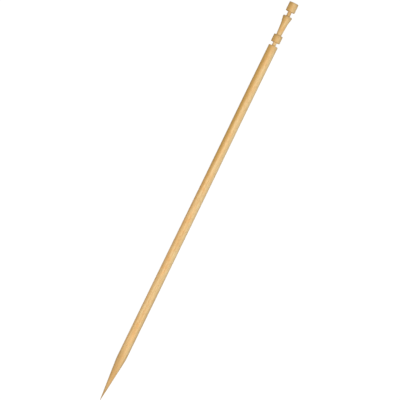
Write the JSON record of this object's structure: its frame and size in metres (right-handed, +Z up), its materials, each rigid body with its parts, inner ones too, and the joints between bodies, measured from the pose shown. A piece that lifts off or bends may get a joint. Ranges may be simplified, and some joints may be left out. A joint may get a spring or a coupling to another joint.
{
  "type": "wooden skewer",
  "caption": "Slim round wooden skewer with a long sharp point and a small turned head of collar, flared bell and cap, for holding finger food and cocktail garnishes.",
  "frame": {"origin": "on the table under the middle of the skewer's length, below its axis", "axes": "+X along the skewer towards the turned head, so the tip is at -X; +Z up from the table that it lies on"},
  "size_m": [0.12, 0.0026, 0.0026],
  "materials": {
    "sanded_birch": "bare birch dowel, drum-sanded, satin",
    "knife_cut_birch": "bare birch as the forming knife leaves it, slightly darker and rougher"
  },
  "bodies": {
    "root": {"point": "sanded_birch", "shaft": "sanded_birch", "lower_neck": "knife_cut_birch", "collar": "sanded_birch", "bell": "knife_cut_birch", "upper_neck": "knife_cut_birch", "cap": "sanded_birch"}
  },
  "joints": []
}
